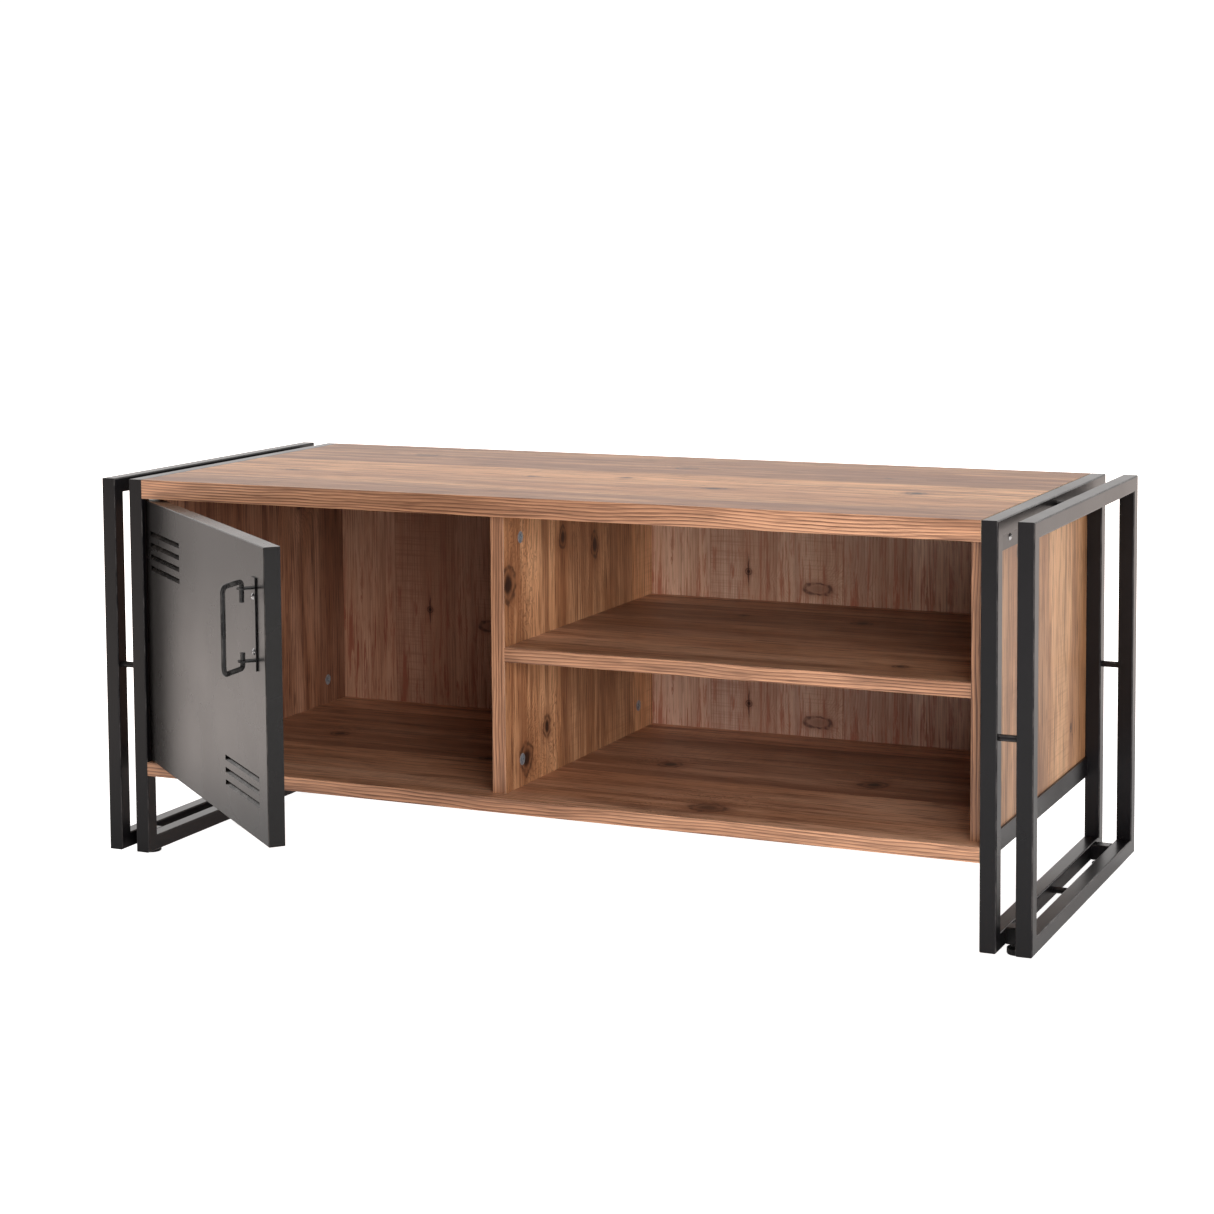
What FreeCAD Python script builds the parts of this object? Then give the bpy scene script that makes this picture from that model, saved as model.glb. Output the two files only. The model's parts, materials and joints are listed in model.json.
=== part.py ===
import FreeCAD, Part
import math
import os

# A low open sideboard: a melamine board carcass with one hinged steel door, carried between two
# pairs of square-tube frames. Sizes are in millimetres, +X to the right, +Y to the rear, +Z up.
# Everything is laid out with X = 0 in the middle, Y = 0 at the front plane and Z = 0 on the floor.
# The last step moves it all along Y, so that the origin is the middle of its footprint, door ajar.

Vector = FreeCAD.Vector

# Overall sizes
overall_width = 1250.0
overall_depth = 510.0
frame_height = 495.0
foot_height = 12.0            # floor to the underside of the frames

# End frames
tube_size = 20.0
tube_wall = 1.5
tube_corner_radius = 2.0
frame_gap = 22.0              # between the inner and the outer frame
strip_width = 25.0
strip_thickness = 3.0
pin_radius = 4.0
foot_tube_setback = 42.0      # front plane to the cross tube that carries a foot

# Boards
top_thickness = 25.0
board_thickness = 18.0
edging_thickness = 1.0
edging_radius = 0.8
carcass_clearance_under = 103.0   # frame underside to the underside of the bottom panel
divider_x = -58.0
lower_bay_height = 165.5
back_thickness = 4.0
back_setback = 20.0               # rear plane to the rear face of a back panel
groove_depth = 6.0
groove_clearance = 0.5
snug = 0.05                       # radial clearance of what is pressed or slid into a hole
near = 0.01                       # two places closer than this are the same

# Knock-down fittings
cam_radius = 7.5
cam_depth = 12.5
cam_setback = 34.0                # end of the board to the middle of the cam
cam_bolt_radius = 3.0
cam_bolt_bore = 4.0
cam_bolt_bite = 11.0
cam_slot_length = 8.0
cam_slot_width = 1.4
cam_slot_depth = 1.5
fitting_setback = 73.0            # front and rear planes to a cam
dowel_radius = 4.0
dowel_bite = 10.0
dowel_length = 30.0
dowel_setback = 130.0

# Frame screws, through the upper strips into the side panels
screw_setback = 111.0
screw_radius = 2.0
screw_head_radius = 4.5
screw_head_height = 2.4
screw_bite = 15.0                 # in the wood

# Cross slot of a domed screw head, as shares of the head's radius and height
slot_length_share = 1.1
slot_width_share = 0.35
slot_depth_share = 0.5

# Levelling feet
foot_radius = 12.5
foot_pad_height = 8.0
foot_pad_radius = 1.5             # rounding of the pad
foot_collar_radius = 7.0
foot_rest_gap = 0.3               # collar to cross tube with the foot screwed right in
foot_stem_radius = 4.0
foot_stem_length = 15.0           # above the lower wall of the cross tube
foot_travel = 8.0
running_clearance = 0.08

# Door
door_thickness = 20.0
door_sheet = 1.2
door_edge_radius = 1.5
door_gap = 2.0                    # above and below
door_side_gap = 5.0               # to the inner frame's front post
door_rear_gap = 2.5               # turning corner of the door to the sides
door_overlay = 17.0               # of the free edge over the divider
door_ajar_angle = 40.6
pivot_spare = 0.5                 # pivot inset beyond where the turning corner touches the post
pivot_radius = 3.0
pivot_bite = 10.0                 # pin inside a board
pivot_head_radius = 5.0
pivot_head_height = 3.0
bush_radius = 5.0
bush_depth = 12.0
bush_flange_radius = 7.0
bush_flange_thickness = 1.5
back_plate_clearance = 0.1

# Louvres: slots with a flap pressed inward from the lower edge
louvre_length = 134.0
louvre_height = 6.5
louvre_depth = 7.0
flap_steepness = 1.4              # upright thickness of a flap, in thicknesses of the sheet
louvre_pitch = 15.0
upper_louvre_inset = 23.0         # hinge edge to the slots
upper_louvre_drop = 38.5          # top edge of the door to the highest slot
upper_louvre_count = 4
lower_louvre_inset = 31.0         # free edge to the slots
lower_louvre_rise = 39.0          # bottom edge of the door to the lowest slot
lower_louvre_count = 3

# Handle: a plate with two lugs that carry a swinging wire bail
handle_inset = 36.0               # free edge to the middle of the plate
handle_drop = 92.5                # top edge of the door to the middle of the plate
plate_width = 14.0
plate_length = 108.0
plate_thickness = 2.0
lug_spacing = 84.0
lug_width = 12.0
lug_thickness = 2.0
bail_standoff = 15.5              # door face to the bail's axis
bail_wire_radius = 3.0
bail_height = 100.0
bail_reach = 45.0
bail_pin_bend = 5.0
bail_grip_bend = 8.0
bail_top_tail = 15.0              # wire past the lug
bail_bottom_tail = 9.0
bail_swing_angle = 45.0           # from square to the door, towards the free edge
handle_screw_spacing = 64.0
handle_screw_radius = 2.0
handle_screw_head = 4.0
handle_screw_head_height = 2.2
handle_screw_length = 8.0

# Magnetic catch, let into the top panel's underside above the shut door
catch_radius = 5.0
catch_length = 10.0
catch_inset = 30.0                # free edge of the shut door to the middle of the catch
catch_rim = 1.0                   # plastic wall around the magnet
catch_recess = 0.4                # magnet below the rim

# Worked-out places
outer_x = overall_width / 2
end_x = outer_x - 2 * tube_size - frame_gap        # end of the carcass
gap_inner_x = end_x + tube_size
gap_outer_x = gap_inner_x + frame_gap
frame_z = foot_height
top_z = frame_z + frame_height
ceiling_z = top_z - top_thickness
floor_z = frame_z + carcass_clearance_under + board_thickness
bottom_z = floor_z - board_thickness
side_x = end_x - board_thickness                   # inner face of a side panel
half_board = board_thickness / 2
divider_left = divider_x - half_board
divider_right = divider_x + half_board
shelf_z = floor_z + lower_bay_height
shelf_top_z = shelf_z + board_thickness
back_y = overall_depth - back_setback - back_thickness
door_left = -end_x + door_side_gap
door_right = divider_left + door_overlay
door_bottom = floor_z + door_gap
door_top = ceiling_z - door_gap
pivot_y = door_thickness / 2
# A corner of the hinge edge turns about the pivot and just touches the post from this inset
touching_inset = (pivot_y ** 2 - door_side_gap ** 2) / (2 * door_side_gap)
touching_radius = touching_inset + door_side_gap
pivot_inset = max(touching_inset + pivot_spare, pivot_head_radius + door_sheet + running_clearance)
pivot_x = door_left + pivot_inset
# Front plane to the sides, the divider and the shelf
inner_setback = pivot_y + touching_radius + door_rear_gap
handle_x = door_right - handle_inset
handle_z = door_top - handle_drop
upper_louvre_rise = (upper_louvre_count - 1) * louvre_pitch + louvre_height
upper_louvre_z = door_top - upper_louvre_drop - upper_louvre_rise
lower_louvre_z = door_bottom + lower_louvre_rise
bail_y = -bail_standoff
screw_z = top_z - tube_size - strip_width / 2
fitting_rows = (fitting_setback, overall_depth - fitting_setback)
dowel_rows = (dowel_setback, overall_depth - dowel_setback)
screw_rows = (screw_setback, overall_depth - screw_setback)
foot_rows = (foot_tube_setback, overall_depth - foot_tube_setback - tube_size)
X, Y, Z = Vector(1, 0, 0), Vector(0, 1, 0), Vector(0, 0, 1)


def box(x0, x1, y0, y1, z0, z1):
    """A block between two corners, given in any order along X."""
    low, high = min(x0, x1), max(x0, x1)
    return Part.makeBox(high - low, y1 - y0, z1 - z0, Vector(low, y0, z0))


def rod(start, along, radius, length):
    return Part.makeCylinder(radius, length, start, along)


def join(solids):
    """One clean solid out of several that touch or overlap."""
    first, *others = solids
    return first.fuse(others).removeSplitter() if others else first


def group(solids):
    """Several separate solids for one node."""
    return Part.makeCompound(list(solids))


def mirrored(shape):
    return shape.mirror(Vector(0, 0, 0), X)


def edges_along(shape, axis, place):
    """The straight edges that run along an axis and whose middle passes a test."""
    found = []
    for edge in shape.Edges:
        ends = [vertex.Point for vertex in edge.Vertexes]
        if len(ends) != 2:
            continue
        run = ends[1] - ends[0]
        if abs(run * axis) > run.Length - near and place((ends[0] + ends[1]) / 2):
            found.append(edge)
    return found


# ---------------------------------------------------------------- end frames

def square_tube(start, along, length):
    """A hollow tube with rounded corners, centred on the line from start."""
    half = tube_size / 2
    outer = Part.makeBox(tube_size, tube_size, length, Vector(-half, -half, 0))
    outer = outer.makeFillet(tube_corner_radius, edges_along(outer, Z, lambda middle: True))
    bore_size = tube_size - 2 * tube_wall
    bore = Part.makeBox(bore_size, bore_size, length, Vector(-bore_size / 2, -bore_size / 2, 0))
    tube = outer.cut(bore)
    tube.Placement = FreeCAD.Placement(start, FreeCAD.Rotation(Z, along))
    return tube


def mitre_wedge(x0, corners):
    """The part of a frame that belongs to one tube: a four-sided prism across its thickness."""
    points = [Vector(x0, y, z) for y, z in corners]
    return Part.Face(Part.makePolygon(points + points[:1])).extrude(X * tube_size)


def frame_tubes(x0):
    """The four mitred tubes of one welded rectangular frame."""
    half = tube_size / 2
    x = x0 + half
    depth, low, high = overall_depth, frame_z, top_z
    inner_y, inner_low, inner_high = depth - tube_size, low + tube_size, high - tube_size
    runs = {
        "front_post": (Vector(x, half, low), Z, frame_height,
                       [(0, low), (tube_size, inner_low), (tube_size, inner_high), (0, high)]),
        "rear_post": (Vector(x, depth - half, low), Z, frame_height,
                      [(depth, low), (inner_y, inner_low), (inner_y, inner_high), (depth, high)]),
        "bottom_rail": (Vector(x, 0, low + half), Y, depth,
                        [(0, low), (tube_size, inner_low), (inner_y, inner_low), (depth, low)]),
        "top_rail": (Vector(x, 0, high - half), Y, depth,
                     [(0, high), (tube_size, inner_high), (inner_y, inner_high), (depth, high)]),
    }
    tubes = {}
    for name, (start, along, length, corners) in runs.items():
        tubes[name] = square_tube(start, along, length).common(mitre_wedge(x0, corners))
    return tubes


def frame_strips():
    """The two flat strips welded between the posts of the right inner frame."""
    lower_middle = bottom_z + half_board
    lows = (lower_middle - strip_width / 2, screw_z - strip_width / 2)
    lower, upper = [box(end_x, end_x + strip_thickness, tube_size, overall_depth - tube_size,
                        low, low + strip_width) for low in lows]
    holes = [rod(Vector(end_x, y, screw_z), X, screw_radius + snug, strip_thickness)
             for y in screw_rows]
    return group([lower, upper.cut(holes)])


def frame_screws():
    """The two screws that hold the right end of the carcass to its inner frame."""
    screws, length = [], strip_thickness + screw_bite
    for y in screw_rows:
        face = Vector(end_x + strip_thickness, y, screw_z)
        shank = rod(face - X * length, X, screw_radius, length)
        screws.append(join([shank, dome(face, X, screw_head_radius, screw_head_height)]))
    return group(screws)


def dome(seat, outward, radius, height):
    """A low domed screw head with a cross slot, standing on a seat."""
    ball_radius = (radius ** 2 + height ** 2) / (2 * height)
    ball = Part.makeSphere(ball_radius, seat - outward * (ball_radius - height), outward)
    head = ball.common(rod(seat, outward, radius, height))
    return head.cut(cross_slot(seat + outward * height, outward, radius * slot_length_share,
                               height * slot_width_share, height * slot_depth_share))


def cross_slot(face, outward, length, width, depth):
    """Two crossed grooves to be cut into a face."""
    bars = []
    for size_x, size_y in ((length, width), (width, length)):
        bar = Part.makeBox(size_x, size_y, 2 * depth, Vector(-size_x / 2, -size_y / 2, -depth))
        bar.Placement = FreeCAD.Placement(face, FreeCAD.Rotation(Z, outward))
        bars.append(bar)
    return join(bars)


def frame_pins():
    """Round pins that tie the right inner and outer frames together."""
    half = tube_size / 2
    middle_y, middle_z = overall_depth / 2, frame_z + frame_height / 2
    places = [(half, middle_z), (overall_depth - half, middle_z),
              (middle_y, frame_z + half), (middle_y, top_z - half)]
    return group(rod(Vector(gap_inner_x, y, z), X, pin_radius, frame_gap) for y, z in places)


def foot_tubes():
    """Short tubes across the gap between the right frames, each with a threaded hole for a foot."""
    tubes = []
    for y in foot_rows:
        middle = Vector(gap_inner_x, y + tube_size / 2, frame_z + tube_size / 2)
        hole = rod(foot_centre(y) + Z * frame_z, Z, foot_stem_radius + running_clearance, tube_wall)
        tubes.append(square_tube(middle, X, frame_gap).cut(hole))
    return group(tubes)


def foot_centre(row):
    """Middle of a right foot on the floor, for a cross tube whose front face is at a row."""
    return Vector((gap_inner_x + gap_outer_x) / 2, row + tube_size / 2, 0)


def foot_pad(row):
    """The moulded base of a levelling foot, with the collar that meets the cross tube."""
    centre = foot_centre(row)
    pad = rod(centre, Z, foot_radius, foot_pad_height)
    pad = pad.makeFillet(foot_pad_radius, [e for e in pad.Edges if e.Closed])
    collar_height = frame_z - foot_rest_gap - foot_pad_height
    collar = rod(centre + Z * foot_pad_height, Z, foot_collar_radius, collar_height)
    socket_depth = collar_height + foot_pad_height / 2
    socket = rod(centre + Z * (foot_pad_height / 2), Z, foot_stem_radius + snug, socket_depth)
    return join([pad, collar]).cut(socket)


def foot_stem(row):
    """The threaded stem, from the middle of the pad up into the cross tube."""
    bottom = foot_pad_height / 2
    top = frame_z + tube_wall + foot_stem_length
    return rod(foot_centre(row) + Z * bottom, Z, foot_stem_radius, top - bottom)


# ---------------------------------------------------------------- carcass

def edging(x0, x1, y, z0, z1):
    """A strip of edging on the front of a board, with its long outer edges eased."""
    strip = box(x0, x1, y, y + edging_thickness, z0, z1)
    along = X if abs(x1 - x0) > z1 - z0 else Z
    return strip.makeFillet(edging_radius, edges_along(strip, along, lambda middle: middle.y < y + near))


def bays():
    """The clear space of each compartment at the back, as X and Z limits."""
    return {
        "left": (-side_x, divider_left, floor_z, ceiling_z),
        "upper_right": (divider_right, side_x, shelf_top_z, ceiling_z),
        "lower_right": (divider_right, side_x, floor_z, shelf_z),
    }


def back_panel(x0, x1, z0, z1):
    """A thin panel that stands on the bottom of its groove."""
    slip = groove_depth - groove_clearance
    return box(x0 - slip, x1 + slip, back_y, back_y + back_thickness, z0 - groove_depth, z1 + slip)


def back_grooves():
    """The space that the back panels need in the boards around them."""
    cuts = []
    for x0, x1, z0, z1 in bays().values():
        cuts.append(box(x0 - groove_depth, x1 + groove_depth, back_y - snug,
                        back_y + back_thickness + snug, z0 - groove_depth, z1 + groove_depth))
    return cuts


class BoardJoint:
    """Cams, bolts and dowels where the end of one board meets the face of another."""

    def __init__(self, middle, into, cam_side):
        """middle is the middle of the board's end at Y = 0, and into points along the board."""
        self.middle, self.into, self.cam_side = middle, into, cam_side
        self.cams, self.bolts, self.dowels = [], [], []
        self.board_cuts, self.mate_cuts = [], []
        for row in fitting_rows:
            self.add_cam(middle + Y * row)
        for row in dowel_rows:
            self.add_dowel(middle + Y * row)

    def add_cam(self, end):
        centre = end + self.into * cam_setback
        seat = centre + self.cam_side * (half_board - cam_depth)
        face = centre + self.cam_side * half_board
        cam = rod(seat, self.cam_side, cam_radius, cam_depth)
        bore = rod(centre, self.into * -1, cam_bolt_radius + snug, cam_radius + 1)
        cross = cross_slot(face, self.cam_side, cam_slot_length, cam_slot_width, cam_slot_depth)
        self.cams.append(cam.cut([bore, cross]))
        start = end - self.into * cam_bolt_bite
        self.bolts.append(rod(start, self.into, cam_bolt_radius, cam_bolt_bite + cam_setback))
        pocket = rod(seat, self.cam_side, cam_radius + snug, cam_depth)
        self.board_cuts += [pocket, rod(end, self.into, cam_bolt_bore, cam_setback)]
        self.mate_cuts.append(rod(start, self.into, cam_bolt_radius + snug, cam_bolt_bite))

    def add_dowel(self, end):
        start = end - self.into * dowel_bite
        self.dowels.append(rod(start, self.into, dowel_radius, dowel_length))
        hole = dowel_radius + snug
        self.mate_cuts.append(rod(start, self.into, hole, dowel_bite))
        self.board_cuts.append(rod(end, self.into, hole, dowel_length - dowel_bite))


def upright_joints(x, cam_side):
    """The joints at the bottom and at the top of an upright board."""
    return (BoardJoint(Vector(x, 0, floor_z), Z, cam_side),
            BoardJoint(Vector(x, 0, ceiling_z), Z * -1, cam_side))


def carcass_screw_holes():
    """Pilot holes for the frame screws, at both ends of the carcass."""
    holes = []
    for y in screw_rows:
        hole = rod(Vector(end_x - screw_bite, y, screw_z), X, screw_radius + snug, screw_bite)
        holes += [hole, mirrored(hole)]
    return holes


def make_carcass(nodes):
    """Boards, edging, back panels and the fittings between them."""
    side_middle = end_x - half_board
    left = upright_joints(-side_middle, X)
    right = upright_joints(side_middle, X * -1)
    divider = upright_joints(divider_x, X)
    shelf_middle = shelf_z + half_board
    shelf_left = BoardJoint(Vector(divider_right, 0, shelf_middle), X, Z * -1)
    shelf_right = BoardJoint(Vector(side_x, 0, shelf_middle), X * -1, Z * -1)
    joints = (*left, *right, *divider, shelf_left, shelf_right)

    front, inner_front, rear = edging_thickness, inner_setback + edging_thickness, overall_depth
    common_cuts = back_grooves() + carcass_screw_holes()
    lower_cuts, upper_cuts = [], []
    for lower, upper in (left, right, divider):
        lower_cuts += lower.mate_cuts
        upper_cuts += upper.mate_cuts
    upper_cuts += [catch_body(snug), *bush_sockets(ceiling_z, Z)]
    lower_cuts += bush_sockets(floor_z, Z * -1)

    def board_cuts(pair):
        return pair[0].board_cuts + pair[1].board_cuts

    def board(x0, x1, y0, z0, z1, cuts):
        return box(x0, x1, y0, rear, z0, z1).cut(common_cuts + cuts)

    nodes["top_panel"] = board(-end_x, end_x, front, ceiling_z, top_z, upper_cuts)
    nodes["bottom_panel"] = board(-end_x, end_x, front, bottom_z, floor_z, lower_cuts)
    nodes["left_side_panel"] = board(-end_x, -side_x, inner_front, floor_z, ceiling_z,
                                     board_cuts(left))
    nodes["right_side_panel"] = board(side_x, end_x, inner_front, floor_z, ceiling_z,
                                      board_cuts(right) + shelf_right.mate_cuts)
    nodes["divider_panel"] = board(divider_left, divider_right, inner_front, floor_z, ceiling_z,
                                   board_cuts(divider) + shelf_left.mate_cuts)
    nodes["shelf_panel"] = board(divider_right, side_x, inner_front, shelf_z, shelf_top_z,
                                 board_cuts((shelf_left, shelf_right)))

    nodes["top_panel_edging"] = edging(-end_x, end_x, 0, ceiling_z, top_z)
    nodes["bottom_panel_edging"] = edging(-end_x, end_x, 0, bottom_z, floor_z)
    side_edging = edging(side_x, end_x, inner_setback, floor_z, ceiling_z)
    nodes["side_panel_edgings"] = group([side_edging, mirrored(side_edging)])
    nodes["divider_edging"] = edging(divider_left, divider_right, inner_setback, floor_z, ceiling_z)
    nodes["shelf_edging"] = edging(divider_right, side_x, inner_setback, shelf_z, shelf_top_z)

    for name, limits in bays().items():
        nodes["back_panel_" + name] = back_panel(*limits)

    nodes["cam_housings"] = group(cam for joint in joints for cam in joint.cams)
    nodes["cam_bolts"] = group(bolt for joint in joints for bolt in joint.bolts)
    nodes["dowels"] = group(dowel for joint in joints for dowel in joint.dowels)


# ---------------------------------------------------------------- door

def bush_sockets(face_z, into):
    """The hole for one hinge bush, in a board whose face is at face_z."""
    return [rod(Vector(pivot_x, pivot_y, face_z), into, bush_radius + snug, bush_depth)]


def hinge_bush(face_z, into):
    """A flanged plastic bush for a hinge pin."""
    seat = Vector(pivot_x, pivot_y, face_z)
    flange = rod(seat - into * bush_flange_thickness, into, bush_flange_radius, bush_flange_thickness)
    bore = rod(seat - into * bush_flange_thickness, into, pivot_radius + running_clearance,
               bush_flange_thickness + bush_depth)
    return join([rod(seat, into, bush_radius, bush_depth), flange]).cut(bore)


def hinge_pin(edge_z, into):
    """A headed pin, riveted in the door's flange from the inside."""
    inside = Vector(pivot_x, pivot_y, edge_z) - into * door_sheet
    head = rod(inside - into * pivot_head_height, into, pivot_head_radius, pivot_head_height)
    return join([head, rod(inside, into, pivot_radius, door_sheet + door_gap + pivot_bite)])


def louvre_slots(x0, z0, count):
    """Openings in the door's face for one bank of louvres."""
    return [box(x0, x0 + louvre_length, 0, door_sheet, z0 + i * louvre_pitch,
                z0 + i * louvre_pitch + louvre_height) for i in range(count)]


def louvre_flaps(x0, z0, count):
    """Flaps that rise inward from the lower edge of each slot."""
    flaps = []
    for i in range(count):
        low = z0 + i * louvre_pitch
        outline = [(0, low - door_sheet), (0, low), (louvre_depth, low + louvre_height),
                   (louvre_depth, low + louvre_height - flap_steepness * door_sheet)]
        points = [Vector(x0, y, z) for y, z in outline]
        flaps.append(Part.Face(Part.makePolygon(points + points[:1])).extrude(X * louvre_length))
    return flaps


def door_shell():
    """The folded face of the door: a sheet tray with two banks of louvres."""
    block = box(door_left, door_right, 0, door_thickness, door_bottom, door_top)
    rounded = [edge for edge in block.Edges if edge.BoundBox.YMax < door_thickness / 2]
    block = block.makeFillet(door_edge_radius, rounded)
    hollow = box(door_left + door_sheet, door_right - door_sheet, door_sheet, door_thickness,
                 door_bottom + door_sheet, door_top - door_sheet)
    banks = ((door_left + upper_louvre_inset, upper_louvre_z, upper_louvre_count),
             (door_right - lower_louvre_inset - louvre_length, lower_louvre_z, lower_louvre_count))
    cuts = [hollow]
    for edge_z, into in ((door_top, Z), (door_bottom, Z * -1)):
        start = Vector(pivot_x, pivot_y, edge_z) - into * door_sheet
        cuts.append(rod(start, into, pivot_radius + snug, door_sheet))
    cuts += [rod(Vector(handle_x, 0, z), Y, handle_screw_radius + snug, door_sheet)
             for z in handle_screw_heights()]
    tray = block.cut(cuts)
    slots, flaps = [], []
    for bank in banks:
        slots += louvre_slots(*bank)
        flaps += louvre_flaps(*bank)
    return join([tray.cut(slots), *flaps])


def door_back_plate():
    """The flat sheet that closes the tray."""
    inset = door_sheet + back_plate_clearance
    return box(door_left + inset, door_right - inset, door_thickness - door_sheet, door_thickness,
               door_bottom + door_sheet, door_top - inset)


def handle_screw_heights():
    return [handle_z - handle_screw_spacing / 2, handle_z + handle_screw_spacing / 2]


def handle_plate():
    """The strip on the door's face, with a lug bent out near each end."""
    plate = box(handle_x - plate_width / 2, handle_x + plate_width / 2, -plate_thickness, 0,
                handle_z - plate_length / 2, handle_z + plate_length / 2)
    plate = plate.cut([rod(Vector(handle_x, -plate_thickness, z), Y, handle_screw_radius + snug,
                           plate_thickness) for z in handle_screw_heights()])
    pieces = [plate]
    for side in (-1, 1):
        low = handle_z + side * lug_spacing / 2 - lug_thickness / 2
        tongue = box(handle_x - lug_width / 2, handle_x + lug_width / 2, bail_y, -plate_thickness / 2,
                     low, low + lug_thickness)
        eye = Vector(handle_x, bail_y, low)
        lug = join([tongue, rod(eye, Z, lug_width / 2, lug_thickness)])
        pieces.append(lug.cut(rod(eye, Z, bail_wire_radius + running_clearance, lug_thickness)))
    return join(pieces)


def handle_screws():
    screws = []
    for z in handle_screw_heights():
        seat = Vector(handle_x, -plate_thickness, z)
        shank = rod(seat, Y, handle_screw_radius, handle_screw_length)
        head = dome(seat, Y * -1, handle_screw_head, handle_screw_head_height)
        screws.append(join([head, shank]))
    return group(screws)


def bent_wire(points, radii, wire_radius):
    """A round wire along straight runs, with an arc of its own radius at each inner point."""
    edges, start = [], points[0]
    for before, corner, after, radius in zip(points, points[1:], points[2:], radii):
        back, ahead = (before - corner).normalize(), (after - corner).normalize()
        entry, leave = corner + back * radius, corner + ahead * radius
        middle = corner + (back + ahead) * radius + (back + ahead).normalize() * -radius
        edges += [Part.makeLine(start, entry), Part.Arc(entry, middle, leave).toShape()]
        start = leave
    edges.append(Part.makeLine(start, points[-1]))
    section = Part.Wire(Part.makeCircle(wire_radius, points[0], points[1] - points[0]))
    return Part.Wire(edges).makePipeShell([section], True, True)


def handle_bail():
    """The wire bail, drawn square to the door and then swung to where it is left."""
    half, lug_face = bail_height / 2, lug_spacing / 2 - lug_thickness / 2
    grip_y = bail_y - bail_reach
    turns = [(bail_y, lug_face - bail_top_tail), (bail_y, half), (grip_y, half),
             (grip_y, -half), (bail_y, -half), (bail_y, bail_bottom_tail - lug_face)]
    points = [Vector(handle_x, y, handle_z + z) for y, z in turns]
    radii = (bail_pin_bend, bail_grip_bend, bail_grip_bend, bail_pin_bend)
    bail = bent_wire(points, radii, bail_wire_radius)
    bail.rotate(Vector(handle_x, bail_y, 0), Z, bail_swing_angle)
    return bail


def ajar(shape):
    """Swings a piece of the shut door to where the door is left."""
    swung = shape.copy()
    swung.rotate(Vector(pivot_x, pivot_y, 0), Z, -door_ajar_angle)
    return swung


def make_door(nodes):
    pins = group([hinge_pin(door_top, Z), hinge_pin(door_bottom, Z * -1)])
    pieces = {
        "door_shell": door_shell(),
        "door_back_plate": door_back_plate(),
        "door_hinge_pins": pins,
        "handle_plate": handle_plate(),
        "handle_screws": handle_screws(),
        "handle_bail": handle_bail(),
    }
    for name, shape in pieces.items():
        nodes[name] = ajar(shape)
    nodes["hinge_bushes"] = group([hinge_bush(ceiling_z, Z), hinge_bush(floor_z, Z * -1)])


# ---------------------------------------------------------------- magnetic catch

def catch_body(clearance):
    """The round body of the catch, flush with the underside, with a clearance around it."""
    start = Vector(door_right - catch_inset, door_thickness / 2, ceiling_z)
    return rod(start, Z, catch_radius + clearance, catch_length)


def magnetic_catch():
    """A plastic housing with a magnet that draws the top edge of the steel door."""
    start = Vector(door_right - catch_inset, door_thickness / 2, ceiling_z)
    return catch_body(0).cut(rod(start, Z, catch_radius - catch_rim, catch_recess))


# ---------------------------------------------------------------- both ends

def make_ends(nodes):
    """The frames, feet and screws of the right end, and their mirror images at the left."""
    right = {}
    for frame, x0 in (("inner_frame", end_x), ("outer_frame", gap_outer_x)):
        for tube, shape in frame_tubes(x0).items():
            right[frame + "_" + tube] = shape
    right["frame_strips"] = frame_strips()
    right["frame_pins"] = frame_pins()
    right["foot_tubes"] = foot_tubes()
    for name, row in zip(("front", "rear"), foot_rows):
        right[name + "_foot_pad"] = foot_pad(row)
        right[name + "_foot_stem"] = foot_stem(row)
    for name, shape in right.items():
        nodes["right_" + name] = shape
        nodes["left_" + name] = mirrored(shape)
    screws = frame_screws()
    nodes["frame_screws"] = group(screws.Solids + mirrored(screws).Solids)


def make_nodes():
    nodes = {}
    make_carcass(nodes)
    make_ends(nodes)
    make_door(nodes)
    nodes["magnetic_catch"] = magnetic_catch()
    return nodes


def footprint_middle(nodes):
    """Y of the middle of everything, with the door ajar."""
    limits = group(nodes.values()).optimalBoundingBox()
    return (limits.YMin + limits.YMax) / 2


os.makedirs("parts", exist_ok=True)
all_nodes = make_nodes()
origin_y = footprint_middle(all_nodes)
for node_name, node_shape in all_nodes.items():
    node_shape.translate(Vector(0, -origin_y, 0))
    node_shape.exportStep(os.path.join("parts", node_name + ".step"))
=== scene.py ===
# %% [markdown]
# # A sideboard in printed pine and black steel
#
# The structure arrives finished: every board, tube, pin and screw is already in its place, in metres,
# and rides on the body that it moves with. What is left is how things look. This file goes through the
# finishes one at a time, as a maker would choose them: the printed boards, their edging, the powder
# coat, the small bright metal and the plastics. The floor, the light and the camera come last.

# %% Load the frame
import json
import math

import bpy
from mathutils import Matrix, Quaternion, Vector


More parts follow.
